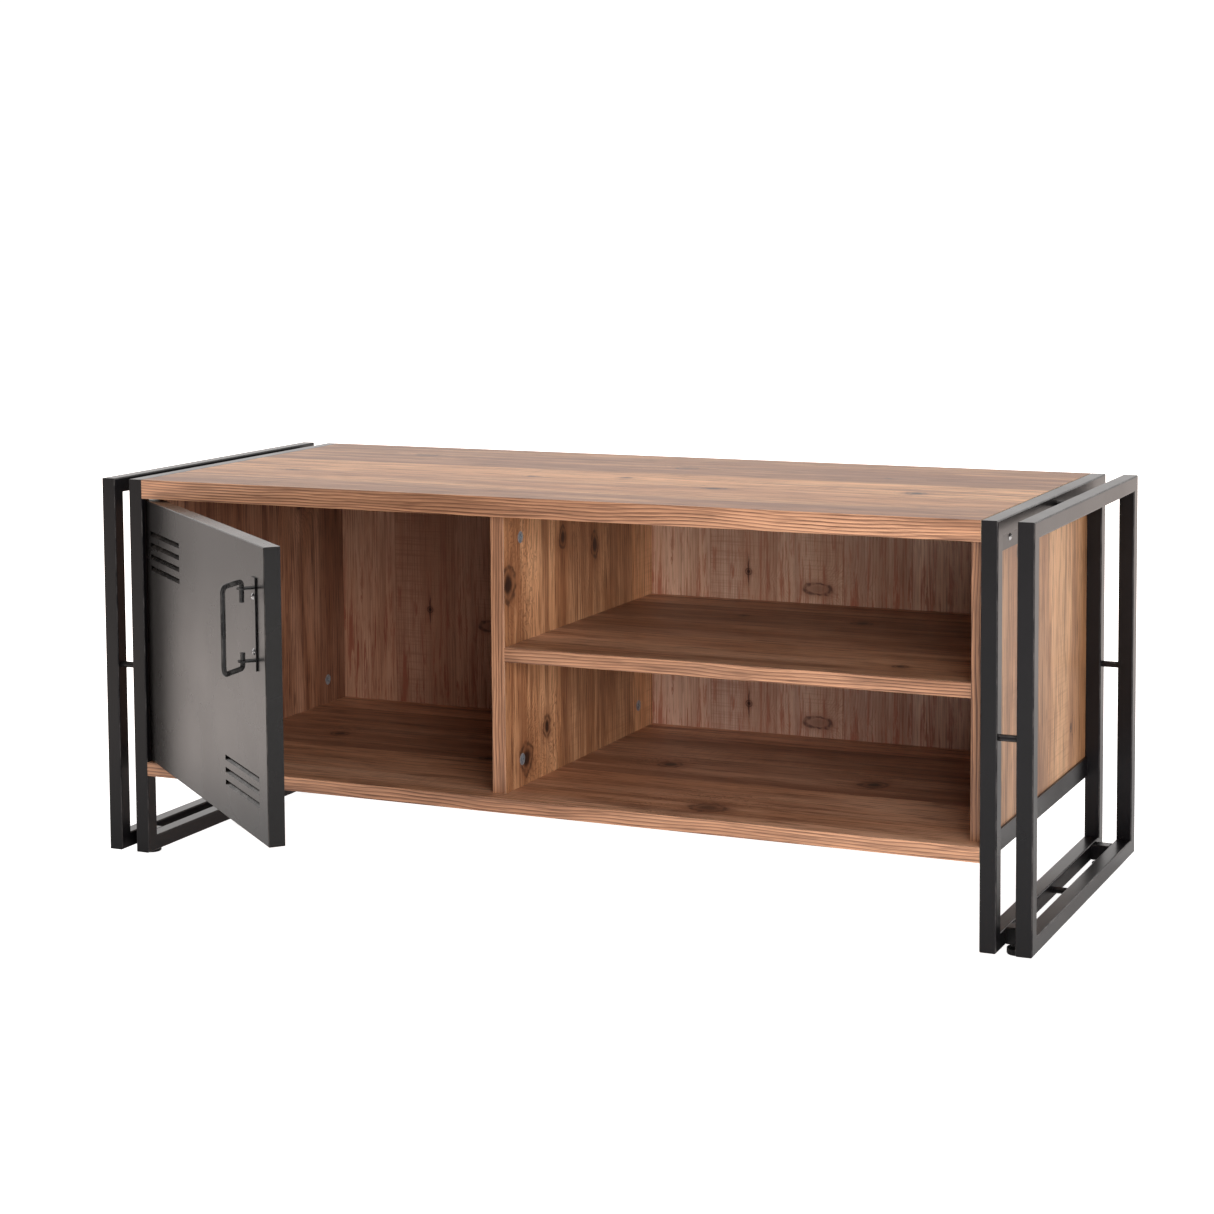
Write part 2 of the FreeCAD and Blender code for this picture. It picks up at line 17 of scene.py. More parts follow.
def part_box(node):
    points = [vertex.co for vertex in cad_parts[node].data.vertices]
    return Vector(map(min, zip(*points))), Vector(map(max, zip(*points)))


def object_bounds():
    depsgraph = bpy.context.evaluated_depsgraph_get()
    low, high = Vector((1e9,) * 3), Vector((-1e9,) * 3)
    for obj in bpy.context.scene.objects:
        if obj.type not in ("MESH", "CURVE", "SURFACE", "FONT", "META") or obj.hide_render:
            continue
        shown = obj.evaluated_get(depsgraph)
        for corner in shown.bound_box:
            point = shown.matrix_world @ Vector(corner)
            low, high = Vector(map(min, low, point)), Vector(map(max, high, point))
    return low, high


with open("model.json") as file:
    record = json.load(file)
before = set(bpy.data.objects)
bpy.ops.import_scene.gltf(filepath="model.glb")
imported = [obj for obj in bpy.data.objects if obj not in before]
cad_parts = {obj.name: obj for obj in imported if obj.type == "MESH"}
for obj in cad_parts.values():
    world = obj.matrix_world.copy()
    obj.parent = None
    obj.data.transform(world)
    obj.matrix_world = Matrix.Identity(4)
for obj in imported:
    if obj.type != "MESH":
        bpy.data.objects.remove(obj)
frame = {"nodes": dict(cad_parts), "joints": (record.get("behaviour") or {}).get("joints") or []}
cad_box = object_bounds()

low, high = cad_box
print("the sideboard fills", [round(v, 3) for v in low], "to", [round(v, 3) for v in high])

# %% [markdown]
# ## A short way of writing shader nodes
#
# Procedural finishes are sums: a noise times a number, a mask mixed into a colour. Written node by node
# that takes pages. `Net` wraps one node tree, makes a node for each sum and returns its output, so that a
# finish reads like arithmetic. Anything that isn't a socket is set as a plain value.

# %% The node helper
class Net:
    """Builds nodes in one tree, each call giving back the new node's output."""

    def __init__(self, tree):
        self.tree = tree

    def node(self, kind, **settings):
        made = self.tree.nodes.new(kind)
        for name, value in settings.items():
            setattr(made, name, value)
        return made

    def put(self, value, socket):
        if isinstance(value, bpy.types.NodeSocket):
            self.tree.links.new(value, socket)
        elif value is not None:
            socket.default_value = value

    def math(self, operation, a, b=None, c=None, clamp=False):
        made = self.node("ShaderNodeMath", operation=operation, use_clamp=clamp)
        for value, socket in zip((a, b, c), made.inputs):
            self.put(value, socket)
        return made.outputs[0]

    def split(self, vector):
        made = self.node("ShaderNodeSeparateXYZ")
        self.put(vector, made.inputs[0])
        return made.outputs

    def join(self, x, y, z):
        made = self.node("ShaderNodeCombineXYZ")
        for value, socket in zip((x, y, z), made.inputs):
            self.put(value, socket)
        return made.outputs[0]

    def scaled(self, vector, factors, shift=(0, 0, 0)):
        made = self.node("ShaderNodeVectorMath", operation="MULTIPLY_ADD")
        for value, socket in zip((vector, factors, shift), made.inputs):
            self.put(value, socket)
        return made.outputs[0]

    def noise(self, vector, scale=1.0, detail=3.0, roughness=0.5, distortion=0.0):
        made = self.node("ShaderNodeTexNoise", noise_dimensions="3D")
        values = {"Vector": vector, "Scale": scale, "Detail": detail,
                  "Roughness": roughness, "Distortion": distortion}
        for name, value in values.items():
            self.put(value, made.inputs[name])
        return made.outputs["Fac"]

    def chance(self, value):
        """A random number from 0 to 1 for each whole value."""
        made = self.node("ShaderNodeTexWhiteNoise", noise_dimensions="1D")
        self.put(value, made.inputs["W"])
        return made.outputs["Value"]

    def step(self, value, start, end, low=0.0, high=1.0):
        """Rises smoothly from low to high as value goes from start to end."""
        made = self.node("ShaderNodeMapRange", interpolation_type="SMOOTHSTEP")
        for number, socket in zip((value, start, end, low, high), made.inputs):
            self.put(number, socket)
        return made.outputs[0]

    def mix(self, amount, a, b):
        made = self.node("ShaderNodeMix", data_type="RGBA")
        colour_a, colour_b, result = made.inputs[6], made.inputs[7], made.outputs[2]
        self.put(amount, made.inputs["Factor"])
        self.put(a, colour_a)
        self.put(b, colour_b)
        return result

    def bump(self, height, strength, distance):
        made = self.node("ShaderNodeBump")
        self.put(height, made.inputs["Height"])
        made.inputs["Strength"].default_value = strength
        made.inputs["Distance"].default_value = distance
        return made.outputs["Normal"]

    def place(self, group, **values):
        """Puts a node group in this tree and gives back its outputs by name."""
        made = self.node("ShaderNodeGroup", node_tree=group)
        for name, value in values.items():
            self.put(value, made.inputs[name])
        return made.outputs

# %% [markdown]
# ## Node groups, colours and finishes
#
# An effect that several finishes share is a node group: built once, with named inputs, and placed in each
# material with its own values. Colours are written as on a paint chart and turned into the linear values
# that shaders calculate with.

# %% Groups, colours and new materials
SOCKETS = {"vector": "NodeSocketVector", "value": "NodeSocketFloat"}


def new_group(name, inputs, outputs):
    """A node group, its net, its input sockets by name and a function that sets its outputs."""
    group = bpy.data.node_groups.new(name, "ShaderNodeTree")
    for label, (kind, start) in inputs.items():
        socket = group.interface.new_socket(name=label, in_out="INPUT", socket_type=SOCKETS[kind])
        if start is not None:
            socket.default_value = start
    for label, kind in outputs.items():
        group.interface.new_socket(name=label, in_out="OUTPUT", socket_type=SOCKETS[kind])
    net = Net(group)
    arrive, leave = net.node("NodeGroupInput"), net.node("NodeGroupOutput")

    def give(**values):
        for label, value in values.items():
            net.put(value, leave.inputs[label])

    return group, net, arrive.outputs, give


def srgb(red, green, blue):
    """A colour as a paint chart gives it, 0 to 255, turned into the linear values shaders use."""
    channels = [c / 255 for c in (red, green, blue)]
    linear = [c / 12.92 if c <= 0.04045 else ((c + 0.055) / 1.055) ** 2.4 for c in channels]
    return (*linear, 1.0)


def new_finish(name):
    """A material, its net and its Principled shader."""
    material = bpy.data.materials.new(name)
    material.use_nodes = True
    material.node_tree.nodes.clear()
    net = Net(material.node_tree)
    shader, output = net.node("ShaderNodeBsdfPrincipled"), net.node("ShaderNodeOutputMaterial")
    material.node_tree.links.new(shader.outputs[0], output.inputs[0])
    return material, net, shader


def coat_nodes(material, names):
    """Gives a finish to CAD pieces, whose shapes stay as they are."""
    for name in names:
        piece = frame["nodes"][name]
        piece.data.materials.clear()
        piece.data.materials.append(material)
    print(material.name, "on", len(names), "pieces")

# %% [markdown]
# ## Staves
#
# The print on these boards imitates a panel glued up from narrow staves. Each stave is cut from another
# tree, so its tone differs and its grain doesn't continue in its neighbour. Counting staves across the
# board and drawing a random number for each gives both: the number shades the stave and shifts the
# place from which its grain is read.

# %% The stave group
group, net, given, give = new_group(
    "staves",
    {"Grain": ("vector", None), "Width": ("value", 0.1), "Seed": ("value", 0.0)},
    {"Grain": "vector", "Tone": "value", "Seam": "value"})
along, across, _ = net.split(given["Grain"])
wander = net.math("MULTIPLY", net.noise(net.scaled(given["Grain"], (1.5, 0.0, 1.0)), 1.0, 1.0), 0.006)
strip = net.math("DIVIDE", net.math("ADD", across, wander), given["Width"])
count = net.math("FLOOR", strip)
draw = net.chance(net.math("ADD", count, given["Seed"]))
from_middle = net.math("ABSOLUTE", net.math("SUBTRACT", net.math("FRACT", strip), 0.5))
moved = net.join(net.math("ADD", along, net.math("MULTIPLY", draw, 7.0)),
                 net.math("ADD", across, net.math("MULTIPLY", draw, 3.0)), given["Seed"])
give(Grain=moved, Tone=draw, Seam=net.step(from_middle, 0.488, 0.5))
stave_group = group
print("staves:", len(group.nodes), "nodes")

# %% [markdown]
# ## Knots
#
# A knot is where a branch left the trunk: the growth lines part, run round it and close again. A smooth
# hill added to the field that the lines are read from does the same thing, because the contours of a
# slope with a hill on it bend round the hill. Each knot is given its own place, one by one, as the
# pattern's designer did.

# %% The knot group
group, net, given, give = new_group(
    "knot",
    {"Grain": ("vector", None), "Along": ("value", 0.0), "Across": ("value", 0.0),
     "Size": ("value", 0.01), "Stretch": ("value", 1.1), "Crack": ("value", 0.0),
     "Heart": ("value", 1.0)},
    {"Hill": "value", "Core": "value", "Ring": "value", "Shade": "value", "Crack": "value"})
along, across, _ = net.split(given["Grain"])
far = net.math("DIVIDE", net.math("SUBTRACT", along, given["Along"]), given["Stretch"])
wide = net.math("SUBTRACT", across, given["Across"])
reach = net.math("SQRT", net.math("MULTIPLY_ADD", far, far, net.math("MULTIPLY", wide, wide)))
rounds = net.math("DIVIDE", reach, given["Size"])
uneven = net.math("MULTIPLY_ADD", net.noise(given["Grain"], 70.0, 3.0), 0.9, 0.55)
ratio = net.math("MULTIPLY", rounds, uneven)
hill = net.math("EXPONENT", net.math("MULTIPLY", net.math("POWER", ratio, 2.0), -0.13))
ring = net.step(net.math("ABSOLUTE", net.math("SUBTRACT", ratio, 1.05)), 0.06, 0.3, 1.0, 0.0)
ring = net.math("MULTIPLY", ring, net.step(net.noise(given["Grain"], 110.0, 2.0), 0.36, 0.56, 0.45, 1.0))
drift = net.math("MULTIPLY_ADD", net.noise(given["Grain"], 60.0, 2.0), 0.005, -0.0025)
near_line = net.step(net.math("ABSOLUTE", net.math("ADD", wide, drift)), 0.0005, 0.0017, 1.0, 0.0)
fade = net.math("MULTIPLY", near_line, net.step(rounds, 2.5, 6.5, 1.0, 0.0))
heart = net.math("MULTIPLY", net.step(ratio, 0.34, 0.95, 1.0, 0.0), given["Heart"])
give(Hill=hill, Core=heart, Ring=ring, Shade=net.step(ratio, 0.8, 2.6, 1.0, 0.0),
     Crack=net.math("MULTIPLY", fade, given["Crack"]))
knot_group = group
print("knot:", len(group.nodes), "nodes")

# %% [markdown]
# ## Growth lines and fibres
#
# A tree adds a pale soft band in spring and a thin hard dark one late in the year. Read across a sawn
# board, that is a saw-tooth: a slow rise and a sharp drop. A long noise bends the lines gently along the
# board, a short one makes them tremble, and a third lets them fade in and out, down to a strength that
# `Steady` sets. Very long thin noise on top gives the fibres.

# %% The growth group
group, net, given, give = new_group(
    "growth",
    {"Grain": ("vector", None), "Hill": ("value", 0.0), "Spacing": ("value", 0.006),
     "Run": ("value", 1.3), "Wave": ("value", 3.0), "Tremble": ("value", 0.35),
     "Sharpness": ("value", 3.0), "Steady": ("value", 0.0)},
    {"Lines": "value", "Fibre": "value", "Streak": "value", "Patch": "value"})
along, across, seed = net.split(given["Grain"])
long_place = net.join(net.math("MULTIPLY", along, given["Run"]), net.math("MULTIPLY", across, 14.0), seed)
long_wave = net.math("SUBTRACT", net.noise(long_place, 1.0, 2.0), 0.5)
short_wave = net.math("SUBTRACT", net.noise(net.scaled(given["Grain"], (14.0, 60.0, 1.0)), 1.0, 2.0), 0.5)
field = net.math("DIVIDE", across, given["Spacing"])
field = net.math("ADD", field, net.math("MULTIPLY", long_wave, given["Wave"]))
field = net.math("ADD", field, net.math("MULTIPLY", short_wave, given["Tremble"]))
field = net.math("ADD", field, given["Hill"])
tooth = net.math("POWER", net.math("FRACT", field), given["Sharpness"])
soft_drop = net.math("MULTIPLY", tooth, net.step(net.math("FRACT", field), 0.9, 1.0, 1.0, 0.0))
soft_drop = net.math("MULTIPLY", soft_drop, 1.3, clamp=True)
strength = net.step(net.noise(net.scaled(given["Grain"], (3.0, 30.0, 1.0)), 1.0, 2.0), 0.34, 0.6)
strength = net.math("MAXIMUM", strength, given["Steady"])
fine = net.noise(net.scaled(given["Grain"], (16.0, 430.0, 1.0)), 1.0, 2.0, 0.6)
streak = net.noise(net.scaled(given["Grain"], (2.6, 48.0, 1.0)), 1.0, 5.0, 0.72, 0.25)
patch = net.noise(net.scaled(given["Grain"], (2.0, 13.0, 1.0)), 1.0, 3.0, 0.55, 0.3)
give(Lines=net.math("MULTIPLY", soft_drop, strength), Fibre=fine, Streak=streak, Patch=patch)
growth_group = group
print("growth:", len(group.nodes), "nodes")

# %% [markdown]
# ## Saw marks
#
# The pattern was taken from rough-sawn timber, so faint cross cuts run square to the grain, most
# of them on a few staves. They are a fine noise squeezed along the grain and kept where a slow noise is
# high.

# %% The saw mark group
group, net, given, give = new_group("saw_marks", {"Grain": ("vector", None)}, {"Marks": "value"})
cuts = net.noise(net.scaled(given["Grain"], (420.0, 9.0, 1.0)), 1.0, 1.0)
where = net.noise(net.scaled(given["Grain"], (2.5, 7.0, 1.0)), 1.0, 2.0)
give(Marks=net.math("MULTIPLY", net.step(cuts, 0.45, 0.75), net.step(where, 0.5, 0.66)))
saw_group = group
print("saw marks:", len(group.nodes), "nodes")

# %% [markdown]
# ## Raw chipboard
#
# Where no edging is glued on, a board's edge shows its core of pressed chips. A cell pattern gives each
# chip a tone of its own, and a fine noise at a lower strength gives the dust between them. The board
# finish shows it on every surface that doesn't face through the board's thickness.

# %% The chipboard group
group, net, given, give = new_group("chipboard", {"Place": ("vector", None)}, {"Chip": "value"})
chips = net.node("ShaderNodeTexVoronoi")
net.put(given["Place"], chips.inputs["Vector"])
net.put(420.0, chips.inputs["Scale"])
chip_tone, _, _ = net.split(chips.outputs["Color"])
dust = net.noise(given["Place"], 900.0, 2.0)
give(Chip=net.math("MULTIPLY_ADD", chip_tone, 0.65, net.math("MULTIPLY", dust, 0.35)))
chip_group = group
print("chipboard:", len(group.nodes), "nodes")

# %% [markdown]
# ## The printed board
#
# Melamine board carries its wood as a printed paper under clear resin: even sheen, a very shallow pressed
# texture and no depth of its own. One function makes the finish for any board. It reads the board's own
# coordinates, lays the grain along the axis it is told, and stacks the groups from the broadest to the
# finest: stave tone, patches, growth lines, fibres, then knots with their rings and cracks.

# %% Axes and the board's colours
X, Y, Z = 0, 1, 2
CHIP = {"pale": srgb(206, 178, 138), "dark": srgb(138, 104, 70)}
PINE = {"pale": srgb(230, 180, 134), "warm": srgb(196, 142, 98), "brown": srgb(128, 84, 56),
        "line": srgb(70, 41, 26), "core": srgb(34, 22, 18), "red": srgb(150, 92, 62)}


def tone_and_painted_shade(colours, shares):
    """The same set of colours with a share of its red, green and blue left: a board's own tone, and on the
    left bay's boards also painted shade.
    """
    return {key: (*[min(1.0, share * c) for share, c in zip(shares, colour)], 1.0)
            for key, colour in colours.items()}
print("printed board:", len(PINE), "colours")

# %% Knots and raw edges of a board
def knot_marks(net, grain, knots):
    """The hill, core, ring, shade and crack of all of a board's knots together.

    A knot is (along, across, size, stretch, crack), with crack from 0 to 1, and a sixth number for how
    dark its heart is where that isn't 1.
    """
    hill, core, ring, shade, crack = 0.0, 0.0, 0.0, 0.0, 0.0
    for along, across, size, stretch, split, *heart in knots:
        knot = net.place(knot_group, Grain=grain, Along=along, Across=across, Size=size,
                         Stretch=stretch, Crack=split, Heart=heart[0] if heart else 1.0)
        hill = net.math("MULTIPLY_ADD", knot["Hill"], 1.0 + 380.0 * size, hill)
        core = net.math("MAXIMUM", knot["Core"], core)
        ring = net.math("MAXIMUM", knot["Ring"], ring)
        shade = net.math("MAXIMUM", knot["Shade"], shade)
        crack = net.math("MAXIMUM", knot["Crack"], crack)
    return hill, core, ring, shade, crack


def bare_chipboard(net, coordinates, through, colour):
    """Swaps the print for raw chips where the surface doesn't face through the board."""
    chip = net.place(chip_group, Place=coordinates.outputs["Object"])["Chip"]
    raw = net.mix(net.step(chip, 0.25, 0.75), CHIP["dark"], CHIP["pale"])
    facing = net.math("ABSOLUTE", net.split(coordinates.outputs["Normal"])[through])
    return net.mix(net.step(facing, 0.7, 0.3), colour, raw)


# %% The board finish
def board_finish(name, along, across, seed, knots=(), colours=PINE, corner=(0.0, 0.0), stave=0.115,
                 spacing=0.0066, lines=0.6, fibre=0.6, streak=0.75, tone=0.75, marks=0.3, flames=0.0,
                 wave=2.8, chipboard=True):
    """A printed-wood finish, measured from a corner along and across the grain, in metres."""
    material, net, shader = new_finish(name)
    coordinates = net.node("ShaderNodeTexCoord")
    place = net.split(coordinates.outputs["Object"])
    grain = net.join(net.math("SUBTRACT", place[along], corner[0]),
                     net.math("SUBTRACT", place[across], corner[1]), seed)
    hill, core, ring, shade, crack = knot_marks(net, grain, knots)
    staves = net.place(stave_group, Grain=grain, Width=stave, Seed=seed)
    growth = net.place(growth_group, Grain=staves["Grain"], Hill=hill, Spacing=spacing, Wave=wave)
    saw = net.place(saw_group, Grain=staves["Grain"])["Marks"]
    dark_streak = net.step(growth["Streak"], 0.49, 0.64)
    dark_fibre = net.step(growth["Fibre"], 0.54, 0.62)

    colour = net.mix(net.step(growth["Patch"], 0.36, 0.62), colours["pale"], colours["warm"])
    colour = net.mix(net.math("MULTIPLY", staves["Tone"], tone), colour, colours["brown"])
    colour = net.mix(net.math("MULTIPLY", dark_streak, streak), colour, colours["brown"])
    colour = net.mix(net.math("MULTIPLY", net.step(growth["Streak"], 0.5, 0.36), 0.5 * streak), colour,
                     colours["pale"])
    if flames:
        flame = net.noise(net.scaled(staves["Grain"], (8.0, 130.0, 1.0)), 1.0, 5.0, 0.75, 0.8)
        low = net.step(net.split(grain)[0], 0.02, 0.16, 1.0, 0.25)
        flame = net.math("MULTIPLY", net.step(flame, 0.49, 0.6), low)
        colour = net.mix(net.math("MULTIPLY", flame, flames), colour, colours["red"])
    colour = net.mix(net.math("MULTIPLY", dark_fibre, fibre), colour, colours["line"])
    colour = net.mix(net.math("MULTIPLY", growth["Lines"], lines), colour, colours["line"])
    colour = net.mix(net.math("MULTIPLY", saw, marks), colour, colours["brown"])
    colour = net.mix(net.math("MULTIPLY", staves["Seam"], 0.4), colour, colours["line"])
    if knots:
        colour = net.mix(net.math("MULTIPLY", shade, 0.6), colour, colours["brown"])
        colour = net.mix(net.math("MULTIPLY", ring, 0.7), colour, colours["core"])
        colour = net.mix(net.math("MULTIPLY", core, 0.95), colour, colours["core"])
        colour = net.mix(net.math("MULTIPLY", crack, 0.8), colour, colours["core"])
    if chipboard:
        through = X + Y + Z - along - across
        colour = bare_chipboard(net, coordinates, through, colour)
    net.put(colour, shader.inputs["Base Color"])

    pressed = net.math("MULTIPLY_ADD", dark_fibre, -0.6, net.math("MULTIPLY", growth["Lines"], -0.5))
    net.put(net.bump(pressed, 0.25, 0.0003), shader.inputs["Normal"])
    net.put(net.math("MULTIPLY_ADD", growth["Fibre"], 0.16, 0.36), shader.inputs["Roughness"])
    return material

# %% [markdown]
# ## Boards, one by one
#
# Horizontal boards have their grain along the length and upright ones from floor to top, because that is
# how a panel saw is fed to waste least. Each board gets its own seed, so that no two show the same piece
# of the pattern, and its own knots. Prints also differ in tone, so each board keeps its own share of the
# print's red, green and blue; the left side panel's low shares are partly a darker print, partly painted
# shade.

# %% The boards
# node: (grain along, grain across, seed, shares of red, green and blue, knots)
boards = {
    "top_panel": (X, Y, 1.3, (1.0, 0.89, 0.75), [
        (-0.44, 0.10, 0.005, 1.7, 0.4), (-0.10, 0.14, 0.004, 1.4, 0.8), (0.02, 0.17, 0.006, 1.1, 0.6),
        (0.05, 0.30, 0.009, 1.5, 0.0, 0.5), (0.17, 0.10, 0.007, 2.2, 0.5), (0.42, 0.14, 0.011, 1.1, 0.0),
        (0.34, 0.28, 0.004, 1.2, 0.9), (-0.36, 0.33, 0.008, 1.8, 0.2, 0.6)]),
    "bottom_panel": (X, Y, 4.7, (1.02, 1.02, 1.25), [
        (0.209, -0.019, 0.017, 1.2, 0.0, 0.7), (0.076, 0.18, 0.013, 1.1, 0.0),
        (0.356, 0.172, 0.015, 1.0, 0.0), (-0.16, 0.12, 0.009, 1.2, 0.6), (-0.42, 0.18, 0.011, 1.1, 0.0)]),
    "shelf_panel": (X, Y, 8.2, (0.86, 0.90, 1.12), [
        (0.138, 0.285, 0.006, 1.2, 0.4), (0.303, 0.283, 0.011, 1.1, 0.0), (0.441, 0.014, 0.007, 1.2, 0.3)]),
    "divider_panel": (Z, Y, 2.9, (1.08, 1.04, 1.06), [
        (0.393, -0.038, 0.017, 1.2, 0.4), (0.166, 0.009, 0.016, 1.1, 0.0), (0.432, 0.121, 0.009, 1.4, 0.4),
        (0.195, 0.069, 0.009, 1.5, 0.2), (0.41, 0.22, 0.010, 1.6, 0.6)]),
    # The left side panel's low shares are partly a darker print and partly painted shade of the dimmer left
    # bay.
    "left_side_panel": (Z, Y, 6.1, (0.58, 0.52, 0.62), [
        (0.44, 0.29, 0.011, 1.1, 0.3), (0.24, 0.12, 0.008, 1.1, 0.3)]),
    "right_side_panel": (Z, Y, 9.4, (0.88, 0.86, 0.86), [
        (0.19, 0.34, 0.004, 1.3, 0.5), (0.45, 0.08, 0.004, 1.3, 0.4)]),
}
for node, (along, across, seed, shares, knots) in boards.items():
    finish = board_finish(node + "_print", along, across, seed, knots, tone_and_painted_shade(PINE, shares))
    coat_nodes(finish, [node])

# %% [markdown]
# ## Back panels
#
# The backs are thin hardboard with a rougher, pinker print: narrow growth lines standing upright, red
# streaks like flames and plenty of saw marks. Each back is cut from the same place in the printed sheet,
# so each shows the same knots. That repeat is kept: the pattern is read from the panel's own corner. The
# left back is the tall one, and its pattern starts a little higher.

# %% The backs
ROUGH_PINE = {"pale": srgb(236, 206, 180), "warm": srgb(214, 178, 150), "brown": srgb(158, 118, 98),
              "line": srgb(128, 84, 66), "core": srgb(50, 24, 20), "red": srgb(158, 88, 66)}
back_knots = [(0.045, 0.150, 0.0042, 1.0, 1.0), (0.026, 0.251, 0.017, 0.42, 0.0, 0.25),
              (0.190, 0.340, 0.005, 1.0, 0.4), (0.255, 0.075, 0.011, 0.5, 0.0, 0.5),
              (0.278, 0.097, 0.004, 1.0, 0.6), (0.120, 0.440, 0.009, 0.6, 0.3)]
# The left back's low shares (0.70, 0.55, 0.5) are painted shade of the dimmer left bay.
for side, lift, shares in (("left", 0.1, (0.70, 0.55, 0.5)), ("upper_right", 0.0, (1.05, 1.0, 1.0)),
                            ("lower_right", 0.0, (1.03, 0.98, 1.03))):
    node = "back_panel_" + side
    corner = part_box(node)[0]
    finish = board_finish(node + "_print", Z, X, 12.0, back_knots, tone_and_painted_shade(ROUGH_PINE, shares),
                          (corner.z + lift, corner.x), stave=0.097, spacing=0.0042, lines=0.45,
                          fibre=0.35, streak=0.45, tone=0.6, marks=0.5, flames=0.75, wave=2.0)
    coat_nodes(finish, [node])

# %% [markdown]
# ## Edging
#
# The front edges are closed with a strip of plastic edging printed with straight grain. Its lines are
# much stronger than the board's and run the length of the strip in slow waves. The glue line beside it
# shows as a pale hair, which is drawn where the strip's surface turns away from the front.

# %% The edging
EDGE = {"pale": srgb(212, 158, 123), "warm": srgb(184, 132, 99), "line": srgb(66, 36, 26),
        "glue": srgb(222, 196, 172)}


def edging_finish(name, along, across, seed):
    material, net, shader = new_finish(name)
    coordinates = net.node("ShaderNodeTexCoord")
    place = net.split(coordinates.outputs["Object"])
    grain = net.join(place[along], place[across], seed)
    growth = net.place(growth_group, Grain=grain, Spacing=0.0042, Run=3.6, Wave=5.0, Tremble=0.12,
                       Sharpness=2.6, Steady=0.75)
    colour = net.mix(net.step(growth["Patch"], 0.36, 0.62), EDGE["pale"], EDGE["warm"])
    colour = net.mix(net.math("MULTIPLY", net.step(growth["Streak"], 0.46, 0.62), 0.35), colour,
                     EDGE["line"])
    colour = net.mix(growth["Lines"], colour, EDGE["line"])
    colour = net.mix(net.math("MULTIPLY", net.step(growth["Fibre"], 0.48, 0.66), 0.4), colour,
                     EDGE["line"])
    facing = net.math("ABSOLUTE", net.split(coordinates.outputs["Normal"])[Y])
    colour = net.mix(net.step(facing, 0.35, 0.1), colour, EDGE["glue"])
    net.put(colour, shader.inputs["Base Color"])
    net.put(net.bump(net.math("MULTIPLY", growth["Lines"], -1.0), 0.2, 0.0003), shader.inputs["Normal"])
    net.put(net.math("MULTIPLY_ADD", growth["Fibre"], 0.15, 0.33), shader.inputs["Roughness"])
    return material


lying = edging_finish("edging_lying", X, Z, 3.0)
upright = edging_finish("edging_upright", Z, X, 15.0)
coat_nodes(lying, ["top_panel_edging", "bottom_panel_edging", "shelf_edging"])
coat_nodes(upright, ["side_panel_edgings", "divider_edging"])

# %% [markdown]
# ## Powder coat
#
# Steel tube and sheet are sprayed with plastic powder and baked. The film flows a little, so it has a
# fine orange-peel skin, and it thins on outside corners, where handling soon polishes it lighter. The
# corner mask needs no extra geometry: on a flat face the surface direction lies along one axis, and on a
# rounded corner it lies between two.

# %% Shared effects of metal
group, net, given, give = new_group(
    "corner_wear",
    {"Normal": ("vector", None), "Place": ("vector", None), "Turn": ("value", 0.0)},
    {"Mask": "value"})
turned = net.node("ShaderNodeVectorRotate", rotation_type="Z_AXIS")
net.put(given["Normal"], turned.inputs["Vector"])
net.put(given["Turn"], turned.inputs["Angle"])
parts = [net.math("ABSOLUTE", part) for part in net.split(turned.outputs[0])]
flatness = net.math("MAXIMUM", net.math("MAXIMUM", parts[0], parts[1]), parts[2])
patchy = net.step(net.noise(given["Place"], 38.0, 4.0, 0.65), 0.35, 0.7)
give(Mask=net.math("MULTIPLY", net.step(flatness, 0.985, 0.86), patchy))
wear_group = group

group, net, given, give = new_group(
    "orange_peel", {"Place": ("vector", None), "Size": ("value", 0.0016)},
    {"Height": "value", "Cloud": "value"})
cells = net.math("DIVIDE", 1.0, given["Size"])
give(Height=net.noise(given["Place"], cells, 2.0, 0.5), Cloud=net.noise(given["Place"], 9.0, 3.0, 0.55))
peel_group = group
print("metal groups:", len(wear_group.nodes) + len(peel_group.nodes), "nodes")

# %% The powder coat finish
def coat_finish(name, base, cloud, worn, rough, turn=0.0, peel=0.0016, bump=0.12, shine=0.32):
    """Sprayed and baked coat: base and cloud colours, a lighter one for worn corners."""
    material, net, shader = new_finish(name)
    coordinates = net.node("ShaderNodeTexCoord")
    place, normal = coordinates.outputs["Object"], coordinates.outputs["Normal"]
    skin = net.place(peel_group, Place=place, Size=peel)
    wear = net.place(wear_group, Normal=normal, Place=place, Turn=turn)["Mask"]
    colour = net.mix(net.step(skin["Cloud"], 0.3, 0.7), base, cloud)
    colour = net.mix(net.math("MULTIPLY", wear, 0.6), colour, worn)
    net.put(colour, shader.inputs["Base Color"])
    roughness = net.math("MULTIPLY_ADD", skin["Cloud"], 0.12, rough - 0.06)
    net.put(net.math("MULTIPLY_ADD", wear, -0.08, roughness), shader.inputs["Roughness"])
    net.put(net.bump(skin["Height"], bump, 0.0004), shader.inputs["Normal"])
    shader.inputs["Specular IOR Level"].default_value = shine
    return material


tubes = [name for name in frame["nodes"] if "frame_" in name and name != "frame_screws"]
tubes += ["left_foot_tubes", "right_foot_tubes"]
black = coat_finish("black_coat", srgb(14, 13, 15), srgb(20, 18, 20), srgb(88, 84, 82), 0.3)
coat_nodes(black, tubes)

# %% [markdown]
# ## The door
#
# The door is sprayed anthracite, smoother than the tubes, and mirrors its surroundings softly at a low
# angle. It hangs ajar, so the corner mask is turned by the same angle to line its axes up with the door.

